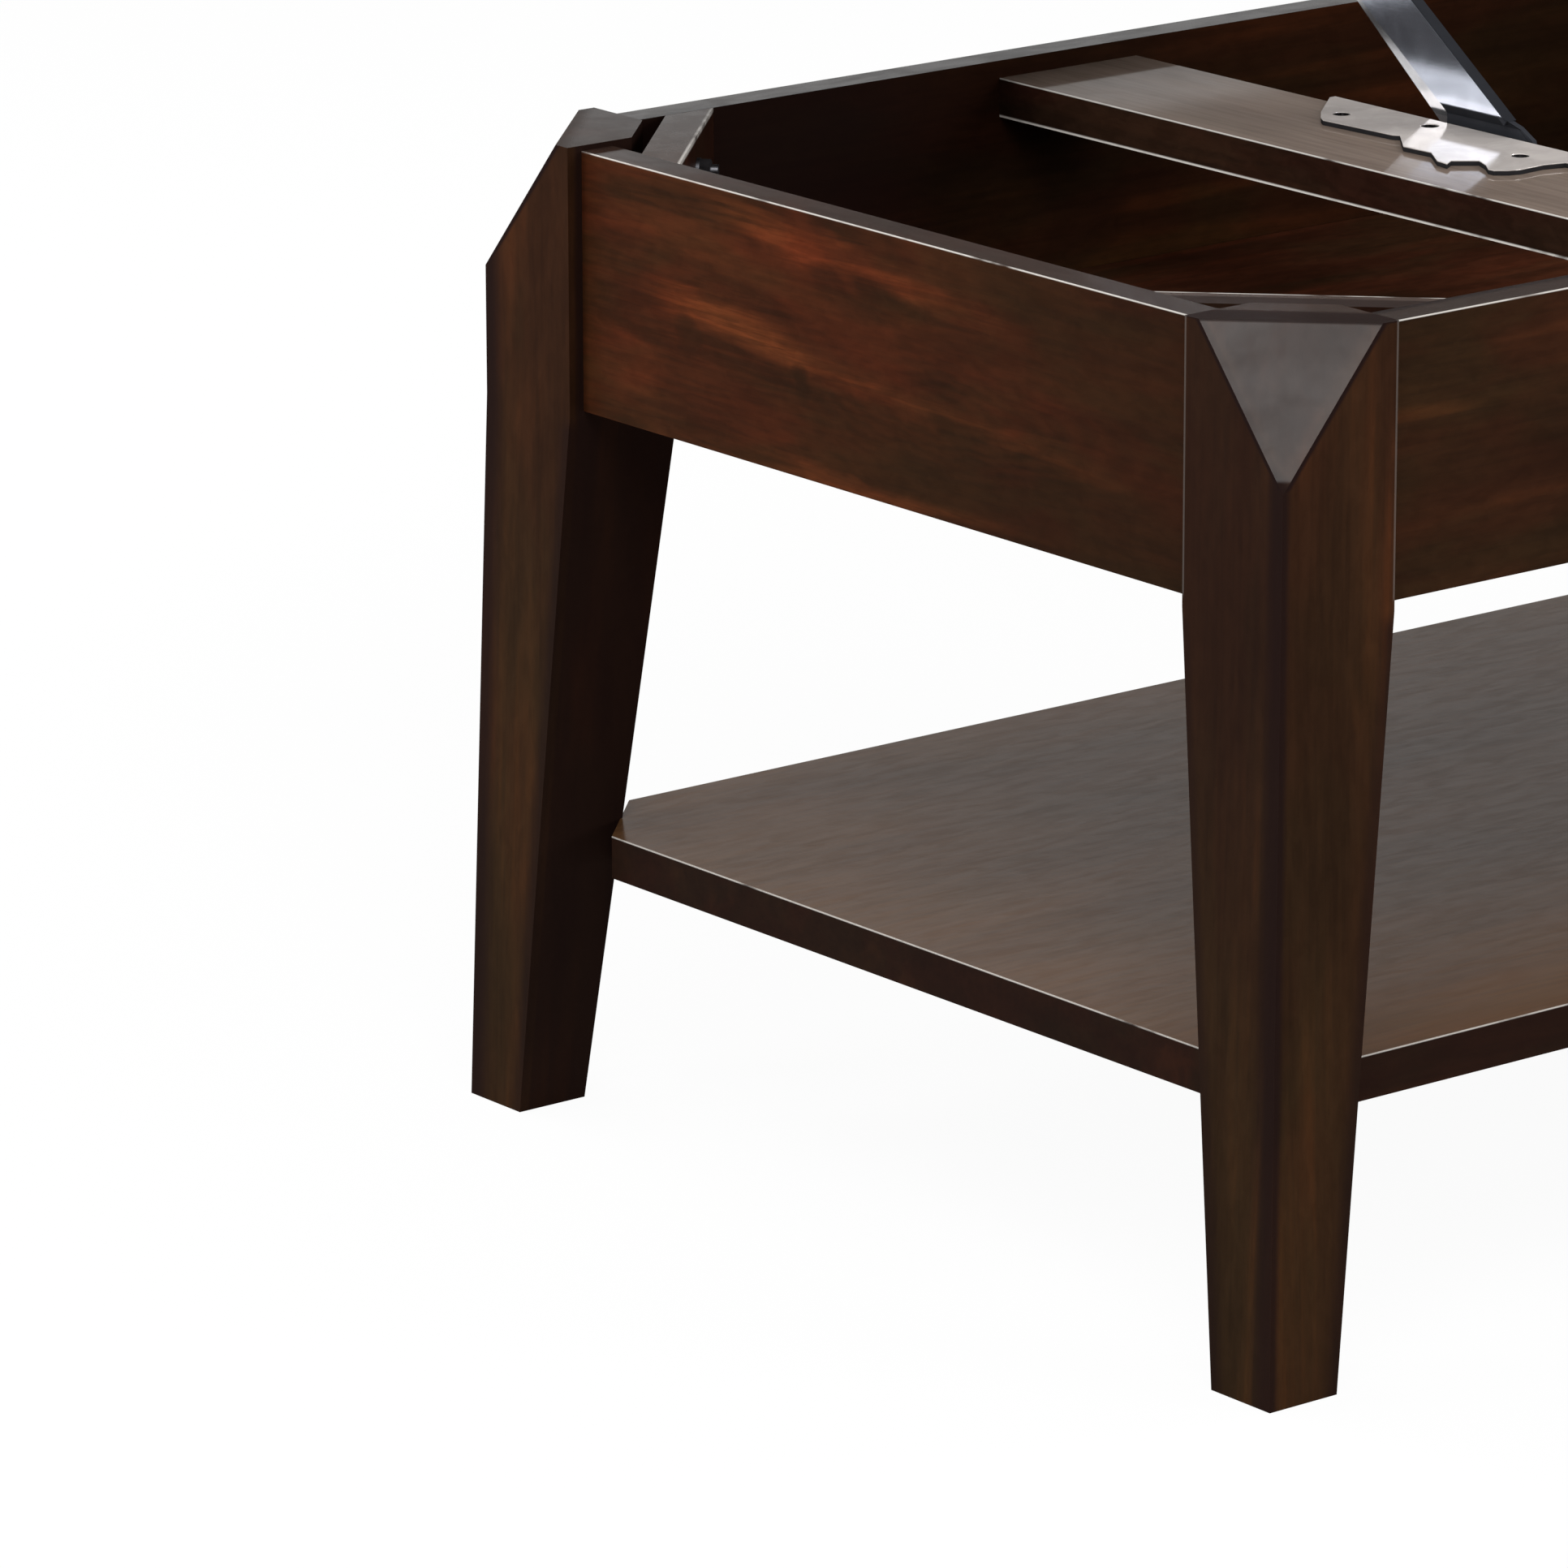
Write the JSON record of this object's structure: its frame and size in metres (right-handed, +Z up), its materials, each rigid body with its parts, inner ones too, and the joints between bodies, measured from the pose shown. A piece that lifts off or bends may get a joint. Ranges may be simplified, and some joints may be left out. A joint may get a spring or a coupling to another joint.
{
  "type": "lift-top coffee table",
  "caption": "Wooden lift-top coffee table with clipped corners, an open storage compartment and a lower shelf, its top raised on spring-assisted parallel arms.",
  "frame": {"origin": "on the floor under the middle of the whole table's bounding box, with the top raised", "axes": "+X to the sitter's right along the table's length, -Y towards the sitter, +Z up"},
  "size_m": [1.136, 0.9606, 0.6281],
  "materials": {
    "walnut": "dark walnut stain under satin lacquer",
    "board": "dark stained board, dull",
    "beech": "bare beech",
    "steel": "cold-rolled steel, stamped",
    "zinc": "zinc plated",
    "black_zinc": "black plated",
    "rubber": "matt"
  },
  "bodies": {
    "base": {"leg_front_left": "walnut", "leg_front_right": "walnut", "leg_back_left": "walnut", "leg_back_right": "walnut", "apron_front": "walnut", "apron_back": "walnut", "apron_left": "walnut", "apron_right": "walnut", "cross_rail_left": "walnut", "cross_rail_right": "walnut", "lower_shelf": "walnut", "corner_brace_front_left": "board", "corner_brace_front_right": "board", "corner_brace_back_left": "board", "corner_brace_back_right": "board", "bottom_panel": "board", "rail_dowels": "beech", "hanger_bolts": "zinc", "hanger_washers": "zinc", "hanger_nuts": "zinc", "brace_screws": "zinc", "shelf_pins": "zinc", "rear_pivot_rivets": "zinc", "front_pivot_studs": "zinc", "front_stud_collars": "zinc", "base_plate_left": "steel", "base_plate_right": "steel", "lift_spring_left": "steel", "lift_spring_right": "steel", "base_plate_screws": "black_zinc"},
    "front_arm_right": {"front_arm_right": "steel"},
    "front_arm_left": {"front_arm_left": "steel"},
    "rear_arm_right": {"rear_arm_right": "steel"},
    "rear_arm_left": {"rear_arm_left": "steel"},
    "top": {"top_panel": "walnut", "top_bracket_left": "steel", "top_bracket_right": "steel", "top_rear_rivets": "zinc", "top_front_rivets": "zinc", "top_bracket_screws": "zinc", "top_bumpers": "rubber"}
  },
  "joints": [
    {"name": "lift", "type": "hinge", "parent": "base", "child": "front_arm_right", "pos_m": [0.17275, 0.1743, 0.448], "axis": [-1, 0, 0], "range_deg": [0, 138.93], "deforming": ["lift_spring_right"]},
    {"name": "front_arm_left_pivot", "type": "hinge", "parent": "base", "child": "front_arm_left", "pos_m": [-0.17275, 0.1743, 0.448], "axis": [-1, 0, 0], "range_deg": [0, 138.93], "deforming": ["lift_spring_left"]},
    {"name": "rear_arm_right_pivot", "type": "hinge", "parent": "base", "child": "rear_arm_right", "pos_m": [0.17775, 0.2103, 0.428], "axis": [-1, 0, 0], "range_deg": [0, 138.93]},
    {"name": "rear_arm_left_pivot", "type": "hinge", "parent": "base", "child": "rear_arm_left", "pos_m": [-0.17775, 0.2103, 0.428], "axis": [-1, 0, 0], "range_deg": [0, 138.93]},
    {"name": "top_pivot", "type": "hinge", "parent": "front_arm_right", "child": "top", "pos_m": [0.17275, 0.00255, 0.58708], "axis": [-1, 0, 0], "range_deg": [-138.93, 0]}
  ],
  "couplings": [
    {"joint": "front_arm_left_pivot", "follows": "lift", "ratio": 1},
    {"joint": "rear_arm_right_pivot", "follows": "lift", "ratio": 1},
    {"joint": "rear_arm_left_pivot", "follows": "lift", "ratio": 1},
    {"joint": "top_pivot", "follows": "lift", "ratio": -1}
  ]
}
